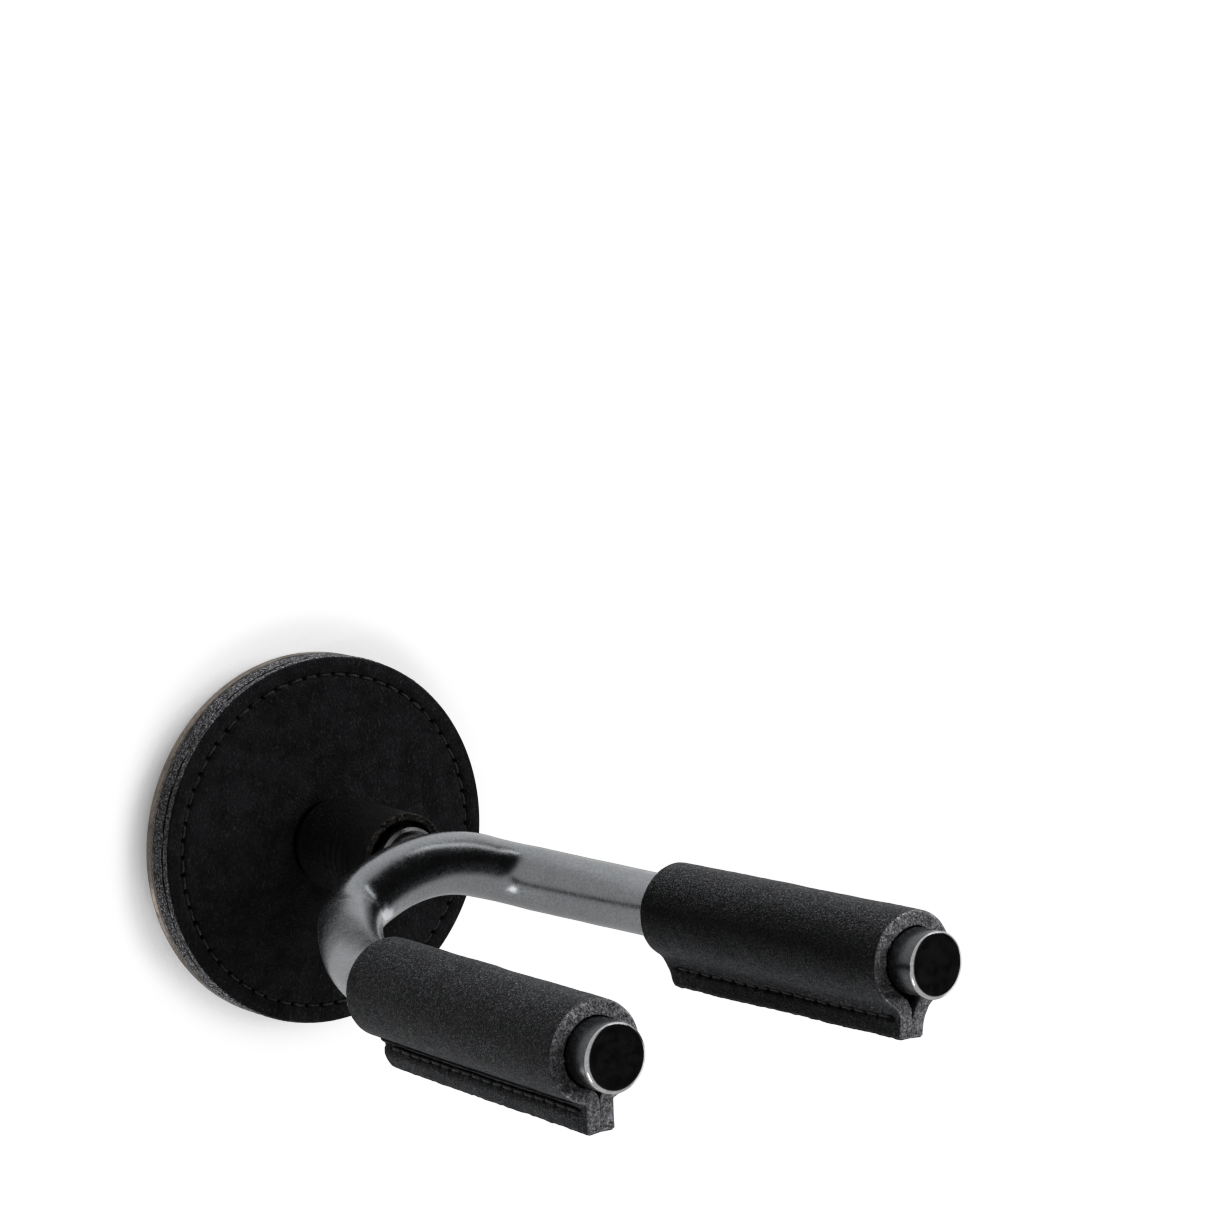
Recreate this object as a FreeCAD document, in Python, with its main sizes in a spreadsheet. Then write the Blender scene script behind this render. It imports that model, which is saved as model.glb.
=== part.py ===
"""Wall guitar hanger: a leather-covered wall disc with a short stem, on which a forged yoke swivels.

Frame: the wall is the plane Y = 0, the stem's axis is the Y axis, -Y points out into the room, +X to the
right and +Z up. "Distance" always means the distance out from the wall, so a point at distance d has Y = -d.
"""

import FreeCAD, Part
import math
import os

import Sketcher
from FreeCAD import Placement, Rotation, Vector

X_AXIS, Y_AXIS, Z_AXIS = Vector(1, 0, 0), Vector(0, 1, 0), Vector(0, 0, 1)
SIDES = {"left": -1, "right": 1}

doc = FreeCAD.newDocument("GuitarHanger")

# ---------------------------------------------------------------- driving dimensions (mm and degrees)

DIMENSIONS = [
    ("disc_radius", 38.0),
    ("plate_thickness", 2.3),
    ("rear_ply_thickness", 4.0),
    ("front_ply_thickness", 2.0),
    ("rim_rounding", 0.5),
    ("wall_screw_spacing", 50.0),
    ("wall_screw_hole_radius", 2.5),
    ("screw_head_pocket_radius", 6.0),
    ("tube_radius", 8.0),
    ("tube_bore_radius", 6.2),
    ("tube_recess_radius", 7.2),
    ("tube_recess_depth", 5.6),
    ("tube_length", 33.1),
    ("wrap_radius", 9.8),
    ("wrap_start", 11.9),
    ("wrap_finish", 37.0),
    ("journal_radius", 5.0),
    ("running_clearance", 0.05),
    ("end_float", 0.1),
    ("bush_length", 7.0),
    ("bush_flange_thickness", 1.0),
    ("washer_thickness", 1.0),
    ("collar_radius", 7.0),
    ("collar_front", 39.2),
    ("neck_radius", 5.8),
    ("screw_radius", 2.5),
    ("screw_head_radius", 4.75),
    ("screw_head_height", 2.4),
    ("screw_length", 12.0),
    ("screw_socket_radius", 1.6),
    ("yoke_distance", 44.4),
    ("bar_radius", 6.3),
    ("crown_radius", 32.0),
    ("crown_angle", 23.0),
    ("bend_radius", 13.0),
    ("bend_angle", 52.5),
    ("sweep_radius", 62.0),
    ("left_arm_length", 70.0),
    ("right_arm_length", 71.0),
    ("toe_out", 2.05),
    ("arm_rise", 1.65),
    ("swivel_angle", 5.9),
    ("bar_end_rounding", 0.8),
    ("grip_radius", 9.4),
    ("grip_bore_radius", 6.55),
    ("grip_length", 69.1),
    ("grip_setback", 6.3),
    ("left_grip_turn", 0.0),
    ("right_grip_turn", 6.0),
    ("flap_drop", 14.6),
    ("flap_thickness", 5.6),
    ("flap_rounding", 1.0),
    ("left_joint_blend", 1.8),
    ("right_joint_blend", 5.0),
    ("thread_radius", 0.38),
    ("seam_groove_depth", 0.5),
    ("seam_groove_width", 1.6),
    ("disc_seam_inset", 3.75),
    ("disc_stitches", 62),
    ("disc_stitch_length", 2.5),
    ("flap_seam_height", 4.0),
    ("flap_seam_margin", 3.6),
    ("flap_stitches", 18),
    ("flap_stitch_length", 2.4),
]

sheet = doc.addObject("Spreadsheet::Sheet", "Dims")
for row, (alias, number) in enumerate(DIMENSIONS, start=1):
    sheet.set(f"A{row}", alias)
    sheet.set(f"B{row}", str(number))
    sheet.setAlias(f"B{row}", alias)
doc.recompute()


def value(expression):
    """The number that an expression in the sheet's aliases gives."""
    result = sheet.evalExpression(expression)
    return float(getattr(result, "Value", result))


# ---------------------------------------------------------------- helpers

sub_parts = []


def new_body(label):
    """An empty body that will be written as one file."""
    body = doc.addObject("PartDesign::Body", label)
    body.Label = label
    sub_parts.append(body)
    return body


def origin_plane(body, role):
    return next(f for f in body.Origin.OriginFeatures if f.Role == role)


def new_sketch(body, name, role):
    """A sketch on one of the body's own origin planes."""
    sketch = body.newObject("Sketcher::SketchObject", name)
    sketch.AttachmentSupport = [(origin_plane(body, role), "")]
    sketch.MapMode = "FlatFace"
    return sketch


def bind(sketch, constraint, expression):
    """Add a constraint and tie its value to the sheet."""
    index = sketch.addConstraint(constraint)
    sketch.setExpression(f"Constraints[{index}]", expression)


def place_point(sketch, geometry, point, across, along):
    """Hold a sketch point at two signed distances from the sketch's origin."""
    bind(sketch, Sketcher.Constraint("DistanceX", -1, 1, geometry, point, value(across)), across)
    bind(sketch, Sketcher.Constraint("DistanceY", -1, 1, geometry, point, value(along)), along)


def add_outline(sketch, corners):
    """A closed outline of straight lines through corners given as pairs of expressions."""
    points = [Vector(value(across), value(along), 0) for across, along in corners]
    first = sketch.GeometryCount
    count = len(points)
    for i, point in enumerate(points):
        sketch.addGeometry(Part.LineSegment(point, points[(i + 1) % count]), False)
    for i in range(count):
        sketch.addConstraint(Sketcher.Constraint("Coincident", first + i, 2, first + (i + 1) % count, 1))
    for i, (across, along) in enumerate(corners):
        place_point(sketch, first + i, 1, across, along)


def add_circle(sketch, across, along, radius):
    centre = Vector(value(across), value(along), 0)
    geometry = sketch.addGeometry(Part.Circle(centre, Z_AXIS, value(radius)), False)
    bind(sketch, Sketcher.Constraint("Radius", geometry, value(radius)), radius)
    place_point(sketch, geometry, 3, across, along)


def turned(label, profile):
    """A piece turned about the stem's axis. The profile is pairs of (radius, distance) expressions."""
    body = new_body(label)
    sketch = new_sketch(body, label + "_profile", "XY_Plane")
    add_outline(sketch, [(radius, f"-({distance})") for radius, distance in profile])
    turn = body.newObject("PartDesign::Revolution", label + "_turn")
    turn.Profile = sketch
    turn.ReferenceAxis = (sketch, ["V_Axis"])
    turn.Angle = 360
    doc.recompute()
    return body


def ring(label, inner, outer, rear, front):
    """A turned ring with a rectangular section."""
    return turned(label, [(inner, rear), (outer, rear), (outer, front), (inner, front)])


def cut_through(body, name, sketch):
    """Cut a sketch right through a body, to both sides, and make sure that it cut something."""
    volume = body.Shape.Volume
    cut = body.newObject("PartDesign::Pocket", name)
    cut.Profile = sketch
    cut.Type = "ThroughAll"
    cut.Midplane = True
    doc.recompute()
    if body.Shape.Volume >= volume:
        raise RuntimeError(f"{name} cut nothing")


def drill(body, name, circles):
    """Cut round holes right through a body, parallel to the stem's axis."""
    sketch = new_sketch(body, name + "_layout", "XZ_Plane")
    for across, up, radius in circles:
        add_circle(sketch, across, up, radius)
    cut_through(body, name, sketch)


def round_edges(body, name, radius, wanted):
    """Fillet the edges of a body for which wanted(edge) is true."""
    base = body.Tip
    names = [f"Edge{i}" for i, edge in enumerate(base.Shape.Edges, start=1) if wanted(edge)]
    if not names:
        raise RuntimeError(f"{name} found no edges")
    fillet = body.newObject("PartDesign::Fillet", name)
    fillet.Base = (base, names)
    fillet.Radius = value(radius)
    fillet.setExpression("Radius", radius)
    doc.recompute()


def is_circle(edge, radius, distance=None):
    """True for a round edge of this radius, and at this distance from the wall if one is given."""
    curve = edge.Curve
    if not isinstance(curve, Part.Circle) or abs(curve.Radius - radius) > 1e-3:
        return False
    return distance is None or abs(curve.Center.y + distance) < 1e-3


# ---------------------------------------------------------------- wall plate and stem

PLATE = "Dims.plate_thickness"
REAR_PLY = PLATE + " + Dims.rear_ply_thickness"
FACE = REAR_PLY + " + Dims.front_ply_thickness"
HALF_SPACING = "Dims.wall_screw_spacing / 2"


def make_wall_plate():
    """Steel disc against the wall, with a hole for the stem's tube and one above and below it for screws."""
    body = ring("wall_plate", "Dims.tube_radius", "Dims.disc_radius", "0", PLATE)
    hole = "Dims.wall_screw_hole_radius"
    drill(body, "wall_screw_holes", [("0", HALF_SPACING, hole), ("0", f"-({HALF_SPACING})", hole)])
    rim = value("Dims.disc_radius")
    round_edges(body, "plate_rim", "Dims.rim_rounding", lambda edge: is_circle(edge, rim))


def make_stem_tube():
    """Tube welded into the plate. Its rear recess hides the washer and screw that hold the yoke's shaft."""
    turned("stem_tube", [
        ("Dims.tube_recess_radius", "0.3"),
        ("Dims.tube_radius", "0.3"),
        ("Dims.tube_radius", "Dims.tube_length"),
        ("Dims.tube_bore_radius", "Dims.tube_length"),
        ("Dims.tube_bore_radius", "Dims.tube_recess_depth"),
        ("Dims.tube_recess_radius", "Dims.tube_recess_depth"),
    ])


def make_bush(label, flange_face, direction):
    """Flanged nylon bush pressed into the tube. Its flange is the face that the yoke's shaft bears on."""
    bore = "Dims.journal_radius + Dims.running_clearance"
    shoulder = f"{flange_face} - {direction} * Dims.bush_flange_thickness"
    end = f"{shoulder} - {direction} * Dims.bush_length"
    turned(label, [
        (bore, end),
        ("Dims.tube_bore_radius", end),
        ("Dims.tube_bore_radius", shoulder),
        ("Dims.collar_radius", shoulder),
        ("Dims.collar_radius", flange_face),
        (bore, flange_face),
    ])


def make_stem():
    make_stem_tube()
    make_bush("front_bush", "Dims.tube_length + Dims.bush_flange_thickness", 1)
    make_bush("rear_bush", "Dims.tube_recess_depth - Dims.bush_flange_thickness", -1)
    body = ring("stem_wrap", "Dims.tube_radius", "Dims.wrap_radius", "Dims.wrap_start", "Dims.wrap_finish")
    outside = value("Dims.wrap_radius")
    round_edges(body, "wrap_edges", "Dims.rim_rounding", lambda edge: is_circle(edge, outside))


# ---------------------------------------------------------------- leather cover of the wall plate

def make_rear_ply():
    """Thick leather disc with pockets over the two wall screws' heads."""
    body = ring("cover_rear_ply", "Dims.tube_radius", "Dims.disc_radius", PLATE, REAR_PLY)
    pocket = "Dims.screw_head_pocket_radius"
    drill(body, "screw_head_pockets", [("0", HALF_SPACING, pocket), ("0", f"-({HALF_SPACING})", pocket)])


def make_front_ply():
    """Face leather, with a shallow groove for the seam near its edge."""
    seam = "Dims.disc_radius - Dims.disc_seam_inset"
    floor = f"{FACE} - Dims.seam_groove_depth"
    body = turned("cover_front_ply", [
        ("Dims.tube_radius", REAR_PLY),
        ("Dims.disc_radius", REAR_PLY),
        ("Dims.disc_radius", FACE),
        (f"{seam} + Dims.seam_groove_width / 2", FACE),
        (f"{seam} + Dims.seam_groove_width / 2", floor),
        (f"{seam} - Dims.seam_groove_width / 2", floor),
        (f"{seam} - Dims.seam_groove_width / 2", FACE),
        ("Dims.tube_radius", FACE),
    ])
    rim, face = value("Dims.disc_radius"), value(FACE)
    round_edges(body, "face_rim", "Dims.rim_rounding", lambda edge: is_circle(edge, rim, face))


def add_stitch(body, name, length, across, along, up, rotation):
    """One stitch: a short straight run of thread, lying along its own Z axis before it is turned."""
    stitch = body.newObject("PartDesign::AdditiveCylinder", name)
    stitch.setExpression("Radius", "Dims.thread_radius")
    stitch.setExpression("Height", length)
    stitch.AttachmentSupport = [(origin_plane(body, "XY_Plane"), "")]
    stitch.MapMode = "FlatFace"
    stitch.AttachmentOffset = Placement(Vector(value(across), value(along), value(up)), rotation)
    stitch.setExpression("AttachmentOffset.Base.x", across)
    stitch.setExpression("AttachmentOffset.Base.y", along)
    stitch.setExpression("AttachmentOffset.Base.z", up)
    doc.recompute()
    return stitch


def make_disc_thread():
    """The ring of stitches that joins the two plies, each stitch lying in the groove."""
    body = new_body("cover_thread")
    body.AllowCompound = True
    depth = f"-({FACE} - Dims.seam_groove_depth + Dims.thread_radius)"
    seam = "Dims.disc_radius - Dims.disc_seam_inset"
    half = "-Dims.disc_stitch_length / 2"
    stitch = add_stitch(body, "disc_stitch", "Dims.disc_stitch_length", half, depth, seam, Rotation(Y_AXIS, 90))
    pattern = body.newObject("PartDesign::PolarPattern", "disc_seam")
    pattern.Originals = [stitch]
    pattern.Axis = (origin_plane(body, "Y_Axis"), [""])
    pattern.Angle = 360
    pattern.setExpression("Occurrences", "Dims.disc_stitches")
    body.Tip = pattern
    doc.recompute()


# ---------------------------------------------------------------- yoke

CROWN_ANGLE = "Dims.crown_angle * 1 deg"
CROWN_ACROSS = f"Dims.crown_radius * sin({CROWN_ANGLE})"
CROWN_DROP = f"Dims.crown_radius * (1 - cos({CROWN_ANGLE}))"
SWEEP_ANGLE = "90 - Dims.toe_out - Dims.bend_angle"
SHAFT_REAR = "(Dims.tube_recess_depth - Dims.bush_flange_thickness - Dims.end_float)"


def yoke_placement():
    """The yoke's arms rise a little from the shaft, and the whole yoke is turned about the stem's axis."""
    hub = Vector(0, -value("Dims.yoke_distance"), 0)
    rise = Placement(Vector(), Rotation(X_AXIS, -value("Dims.arm_rise")), hub)
    swivel = Placement(Vector(), Rotation(Y_AXIS, -value("Dims.swivel_angle")))
    return swivel * rise


def add_crown(body):
    """The middle of the yoke: the bar bent down to each side of the shaft."""
    sketch = new_sketch(body, "crown_section", "YZ_Plane")
    add_circle(sketch, "-Dims.yoke_distance", "0", "Dims.bar_radius")
    below = -value("Dims.crown_radius")
    axis = sketch.addGeometry(Part.LineSegment(Vector(0, below, 0), Vector(-10, below, 0)), True)
    sketch.addConstraint(Sketcher.Constraint("Horizontal", axis))
    place_point(sketch, axis, 1, "0", "-Dims.crown_radius")
    sketch.addConstraint(Sketcher.Constraint("DistanceX", axis, 2, axis, 1, 10))
    crown = body.newObject("PartDesign::Revolution", "crown")
    crown.Profile = sketch
    crown.ReferenceAxis = (sketch, ["Axis0"])
    crown.Midplane = True
    crown.Angle = 2 * value("Dims.crown_angle")
    crown.setExpression("Angle", "2 * Dims.crown_angle")
    doc.recompute()


def arm_start(side):
    """Where an arm leaves the crown, as expressions, with the angle that its plane is turned about Y."""
    across = CROWN_ACROSS if side > 0 else f"-({CROWN_ACROSS})"
    turn = CROWN_ANGLE if side > 0 else f"180 deg - {CROWN_ANGLE}"
    return across, f"-({CROWN_DROP})", turn


def arm_plane_angle(side):
    crown = value("Dims.crown_angle")
    return crown if side > 0 else 180 - crown


def add_arm_path(body, side_name, side):
    """The arm's centreline: a tight bend, a long sweep and a straight run, in a plane tilted by the crown."""
    length = f"Dims.{side_name}_arm_length"
    bend, sweep = value("Dims.bend_radius"), value("Dims.sweep_radius")
    turn = math.radians(90 - value("Dims.bend_angle"))
    finish = math.radians(value("Dims.toe_out"))
    outward = Vector(math.cos(turn), math.sin(turn), 0)
    bend_centre = Vector(0, -bend, 0)
    sweep_centre = bend_centre + outward * (bend - sweep)
    run_start = sweep_centre + Vector(math.cos(finish), math.sin(finish), 0) * sweep
    run_end = run_start + Vector(math.sin(finish), -math.cos(finish), 0) * value(length)

    path = new_sketch(body, side_name + "_arm_path", "XY_Plane")
    across, up, plane_turn = arm_start(side)
    start = Vector(value(across), -value("Dims.yoke_distance"), value(up))
    path.AttachmentOffset = Placement(start, Rotation(Y_AXIS, arm_plane_angle(side)))
    path.setExpression("AttachmentOffset.Base.x", across)
    path.setExpression("AttachmentOffset.Base.y", "-Dims.yoke_distance")
    path.setExpression("AttachmentOffset.Base.z", up)
    path.setExpression("AttachmentOffset.Rotation.Angle", plane_turn)
    tight = path.addGeometry(Part.ArcOfCircle(Part.Circle(bend_centre, Z_AXIS, bend), turn, math.pi / 2))
    long = path.addGeometry(Part.ArcOfCircle(Part.Circle(sweep_centre, Z_AXIS, sweep), finish, turn))
    run = path.addGeometry(Part.LineSegment(run_start, run_end))
    path.addConstraint(Sketcher.Constraint("Coincident", tight, 2, -1, 1))
    path.addConstraint(Sketcher.Constraint("PointOnObject", tight, 3, -2))
    path.addConstraint(Sketcher.Constraint("Tangent", tight, 1, long, 2))
    path.addConstraint(Sketcher.Constraint("Tangent", long, 1, run, 1))
    bind(path, Sketcher.Constraint("Radius", tight, bend), "Dims.bend_radius")
    bind(path, Sketcher.Constraint("Radius", long, sweep), "Dims.sweep_radius")
    bind(path, Sketcher.Constraint("Angle", tight, math.pi / 2 - turn), "Dims.bend_angle")
    bind(path, Sketcher.Constraint("Angle", long, turn - finish), SWEEP_ANGLE)
    bind(path, Sketcher.Constraint("Distance", run, value(length)), length)
    return path


def add_arm_section(body, side_name, side):
    """The round section that is swept along the arm, square to the crown's end."""
    section = new_sketch(body, side_name + "_arm_section", "YZ_Plane")
    across, up, plane_turn = arm_start(side)
    start = Vector(-value("Dims.yoke_distance"), value(up), value(across))
    section.AttachmentOffset = Placement(start, Rotation(X_AXIS, arm_plane_angle(side)))
    section.setExpression("AttachmentOffset.Base.x", "-Dims.yoke_distance")
    section.setExpression("AttachmentOffset.Base.y", up)
    section.setExpression("AttachmentOffset.Base.z", across)
    section.setExpression("AttachmentOffset.Rotation.Angle", plane_turn)
    add_circle(section, "0", "0", "Dims.bar_radius")
    return section


def make_yoke_bar():
    body = new_body("yoke_bar")
    add_crown(body)
    for side_name, side in SIDES.items():
        arm = body.newObject("PartDesign::AdditivePipe", side_name + "_arm")
        arm.Profile = add_arm_section(body, side_name, side)
        arm.Spine = add_arm_path(body, side_name, side)
        doc.recompute()
    bar = value("Dims.bar_radius")

    def at_an_end(edge):
        box = edge.BoundBox
        faces_out = box.YLength < 1 and box.ZLength > 1.9 * bar and box.XLength > 1.9 * bar
        return faces_out and box.YMax < -value("Dims.yoke_distance") - 100

    round_edges(body, "bar_ends", "Dims.bar_end_rounding", at_an_end)
    body.Placement = yoke_placement()
    doc.recompute()
    return body


def make_pivot_shaft(yoke):
    """Turned shaft that runs in the bushes. Its front end is shaped to the bar, to which it is welded."""
    collar_rear = "Dims.tube_length + Dims.bush_flange_thickness + Dims.end_float"
    thread_end = f"{SHAFT_REAR} + Dims.screw_length - Dims.washer_thickness"
    blank = turned("shaft_blank", [
        ("Dims.screw_radius", SHAFT_REAR),
        ("Dims.journal_radius", SHAFT_REAR),
        ("Dims.journal_radius", collar_rear),
        ("Dims.collar_radius", collar_rear),
        ("Dims.collar_radius", "Dims.collar_front - 0.6"),
        ("Dims.collar_radius - 0.6", "Dims.collar_front"),
        ("Dims.neck_radius", "Dims.collar_front"),
        ("Dims.neck_radius", "Dims.yoke_distance"),
        ("0", "Dims.yoke_distance"),
        ("0", thread_end),
        ("Dims.screw_radius", thread_end),
    ])
    sub_parts.remove(blank)
    shaft = doc.addObject("Part::Cut", "pivot_shaft")
    shaft.Label = "pivot_shaft"
    shaft.Base = blank
    shaft.Tool = yoke
    doc.recompute()
    sub_parts.append(shaft)


def make_shaft_retention():
    """Washer and button-head screw on the shaft's rear end, behind the rear bush."""
    seat = f"{SHAFT_REAR} - Dims.washer_thickness"
    head = f"{seat} - Dims.screw_head_height"
    ring("retaining_washer", "Dims.screw_radius + 0.2", "Dims.collar_radius - 0.2", seat, SHAFT_REAR)
    turned("retaining_screw", [
        ("0", f"{head} + 1.3"),
        ("Dims.screw_socket_radius", f"{head} + 1.3"),
        ("Dims.screw_socket_radius", head),
        ("Dims.screw_head_radius - 1.6", head),
        ("Dims.screw_head_radius - 0.3", f"{head} + 0.9"),
        ("Dims.screw_head_radius", seat),
        ("Dims.screw_radius", seat),
        ("Dims.screw_radius", f"{seat} + Dims.screw_length - 0.4"),
        ("0", f"{seat} + Dims.screw_length - 0.4"),
    ])


# ---------------------------------------------------------------- leather grips

FLAP_FACE = "Dims.flap_thickness / 2"
FLAP_FLOOR = FLAP_FACE + " - Dims.seam_groove_depth"
FLAP_SEAM = "-Dims.flap_drop + Dims.flap_seam_height"


def arm_frame(side_name, side):
    """The placement of a grip: its Y axis runs back along the arm, and its origin is the grip's front end."""
    crown, toe = math.radians(value("Dims.crown_angle")), math.radians(value("Dims.toe_out"))
    bend, sweep = value("Dims.bend_radius"), value("Dims.sweep_radius")
    turn = math.radians(value("Dims.bend_angle"))
    run = value(f"Dims.{side_name}_arm_length") - value("Dims.grip_setback")
    across = bend * math.sin(turn) + sweep * (math.cos(toe) - math.sin(turn)) + run * math.sin(toe)
    ahead = bend * (1 - math.cos(turn)) + sweep * (math.cos(turn) - math.sin(toe)) + run * math.cos(toe)
    outward = Vector(side * math.cos(crown), 0, -math.sin(crown))
    ahead_axis = -Y_AXIS
    start = Vector(side * value(CROWN_ACROSS), -value("Dims.yoke_distance"), -value(CROWN_DROP))
    point = start + outward * across + ahead_axis * ahead
    direction = outward * math.sin(toe) + ahead_axis * math.cos(toe)
    aligned = Rotation(ahead_axis, direction)
    turned_flap = Rotation(Y_AXIS, value(f"Dims.{side_name}_grip_turn"))
    return yoke_placement() * Placement(point, aligned * turned_flap)


def add_box_outline(sketch, left, right, low, high):
    add_outline(sketch, [(left, low), (right, low), (right, high), (left, high)])


def make_grip(side_name, side):
    """Thick leather wrapped round the bar, its two ends meeting below it as a flap."""
    body = new_body(side_name + "_grip")
    tube = new_sketch(body, side_name + "_tube_outline", "XZ_Plane")
    add_circle(tube, "0", "0", "Dims.grip_radius")
    add_pad(body, side_name + "_tube", tube)
    flap = new_sketch(body, side_name + "_flap_outline", "XZ_Plane")
    add_box_outline(flap, f"-({FLAP_FACE})", FLAP_FACE, "-Dims.flap_drop", "-0.8 * Dims.grip_radius")
    add_pad(body, side_name + "_flap", flap)
    bore = new_sketch(body, side_name + "_bore_outline", "XZ_Plane")
    add_circle(bore, "0", "0", "Dims.grip_bore_radius")
    cut_through(body, side_name + "_bore", bore)

    face, drop = value(FLAP_FACE), value("Dims.flap_drop")
    radius = value("Dims.grip_radius")

    def along_the_bar(edge):
        return edge.BoundBox.YLength > 10 and edge.BoundBox.XLength < 0.1

    def at_the_joint(edge):
        centre = edge.BoundBox.Center
        return along_the_bar(edge) and abs(abs(centre.x) - face) < 0.01 and -radius < centre.z < -radius * 0.8

    def at_the_hem(edge):
        return along_the_bar(edge) and abs(edge.BoundBox.Center.z + drop) < 0.01

    round_edges(body, side_name + "_joint_blend", f"Dims.{side_name}_joint_blend", at_the_joint)
    round_edges(body, side_name + "_hem_rounding", "Dims.flap_rounding", at_the_hem)
    grooves = new_sketch(body, side_name + "_seam_outline", "XZ_Plane")
    low = f"{FLAP_SEAM} - Dims.seam_groove_width / 2"
    high = f"{FLAP_SEAM} + Dims.seam_groove_width / 2"
    add_box_outline(grooves, FLAP_FLOOR, f"{FLAP_FACE} + 2", low, high)
    add_box_outline(grooves, f"-({FLAP_FACE} + 2)", f"-({FLAP_FLOOR})", low, high)
    cut_through(body, side_name + "_seam_grooves", grooves)
    body.Placement = arm_frame(side_name, side)
    doc.recompute()


def add_pad(body, name, sketch):
    """Extrude a sketch back along the arm over the grip's length."""
    pad = body.newObject("PartDesign::Pad", name)
    pad.Profile = sketch
    pad.Reversed = True
    pad.Length = value("Dims.grip_length")
    pad.setExpression("Length", "Dims.grip_length")
    doc.recompute()


def make_grip_thread(side_name, side):
    """The seam through the flap: a row of stitches in the groove on each of its faces."""
    body = new_body(side_name + "_grip_thread")
    body.AllowCompound = True
    face = f"({FLAP_FLOOR} + Dims.thread_radius)"
    along_bar = Rotation(X_AXIS, -90)
    rows = []
    for name, across in (("outer", face), ("inner", f"-{face}")):
        first = add_stitch(body, f"{side_name}_{name}_stitch", "Dims.flap_stitch_length",
                           across, "Dims.flap_seam_margin", FLAP_SEAM, along_bar)
        rows.append(first)
    pattern = body.newObject("PartDesign::LinearPattern", side_name + "_seam")
    pattern.Originals = rows
    pattern.Direction = (origin_plane(body, "Y_Axis"), [""])
    length = "Dims.grip_length - 2 * Dims.flap_seam_margin - Dims.flap_stitch_length"
    pattern.Length = value(length)
    pattern.setExpression("Length", length)
    pattern.setExpression("Occurrences", "Dims.flap_stitches")
    body.Tip = pattern
    doc.recompute()
    body.Placement = arm_frame(side_name, side)
    doc.recompute()


# ---------------------------------------------------------------- build, check and write

def check(objects):
    """Stop if any object of the document failed, or if a sub-part has no valid solid."""
    for item in doc.Objects:
        if {"Invalid", "Error"} & set(item.State):
            raise RuntimeError(f"{item.Label} failed: {item.State}")
    for item in objects:
        shape = item.Shape
        if shape.isNull() or not shape.isValid() or not shape.Solids:
            raise RuntimeError(f"{item.Label} has no valid solid")


def write(objects):
    os.makedirs("parts", exist_ok=True)
    for item in objects:
        item.Shape.exportStep(os.path.join("parts", item.Label + ".step"))
        solids = len(item.Shape.Solids)
        print(f"{item.Label}: {solids} solid(s), {item.Shape.Volume:.0f} mm3")


make_wall_plate()
make_stem()
make_rear_ply()
make_front_ply()
make_disc_thread()
yoke_bar = make_yoke_bar()
make_pivot_shaft(yoke_bar)
make_shaft_retention()
for side_name, side in SIDES.items():
    make_grip(side_name, side)
    make_grip_thread(side_name, side)
doc.recompute()
check(sub_parts)
write(sub_parts)
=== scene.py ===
import math

import bpy
import numpy as np
from mathutils import Matrix, Vector


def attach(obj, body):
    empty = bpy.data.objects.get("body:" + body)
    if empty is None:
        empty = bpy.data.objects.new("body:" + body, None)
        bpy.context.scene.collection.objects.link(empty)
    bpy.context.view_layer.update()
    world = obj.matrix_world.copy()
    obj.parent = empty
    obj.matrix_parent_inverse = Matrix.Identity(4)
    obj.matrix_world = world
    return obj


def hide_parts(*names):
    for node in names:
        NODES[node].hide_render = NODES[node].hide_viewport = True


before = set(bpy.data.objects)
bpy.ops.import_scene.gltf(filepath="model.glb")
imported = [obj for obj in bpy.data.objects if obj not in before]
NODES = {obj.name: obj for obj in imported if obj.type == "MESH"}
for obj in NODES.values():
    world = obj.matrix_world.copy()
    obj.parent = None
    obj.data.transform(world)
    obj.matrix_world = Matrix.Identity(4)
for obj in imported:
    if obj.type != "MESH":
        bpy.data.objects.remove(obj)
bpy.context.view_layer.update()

MM = 0.001
TAU = 2 * math.pi

# ---------------------------------------------------------------- the part's dimensions, in mm and degrees

DISC_R = 38.0
PLATE_FRONT, PLY_GAP, FACE = 2.3, 6.3, 8.3  # distances off the wall
HOLE_R = 8.0  # hole in the cover, round the stem
SEAM_R, DISC_STITCHES, DISC_THREAD_R = 34.25, 62, 0.25
WRAP_R, WRAP_START, WRAP_FINISH = 9.8, 11.9, 37.0
YOKE_OUT = 44.4  # the crown's centre line, off the wall
BAR_R, BAR_END_R = 6.3, 0.8
CROWN_R, CROWN_DEG = 32.0, 23.0
BEND_R, BEND_DEG = 13.0, 52.5
SWEEP_R = 62.0
ARM_LENGTHS, TOE_DEG = {"left": 70.0, "right": 71.0}, 2.05
RISE_DEG, SWIVEL_DEG = 1.65, 5.9
GRIP_R, GRIP_BORE, GRIP_LENGTH, GRIP_SETBACK = 9.4, 6.55, 69.1, 6.3
GRIP_PLY, GRIP_EDGE = GRIP_R - GRIP_BORE, 0.5  # thickness of the leather, and rounding of its edges
PLY_SLIT = 0.012  # half the gap between the two plies of a flap
FLAP_DROP, FLAP_SEAM = 14.6, 10.6  # below the arm's axis
FLAP_STITCHES, FLAP_MARGIN, GRIP_THREAD_R = 18, 3.6, 0.33
FLAP_PITCH = (GRIP_LENGTH - 2 * FLAP_MARGIN) / FLAP_STITCHES
FLAP_BLEND = {"left": 1.8, "right": 5.8}  # radius with which a flap runs into the grip
FLAP_CREASE = {"left": 0.9, "right": 0.0}  # how deeply the seam is drawn in
FLAP_TURN_DEG = {"left": 0.0, "right": 6.0}
GRIP_SEED = {"left": 50, "right": 70}


# ---------------------------------------------------------------- noise and shaping, on points in mm

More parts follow.
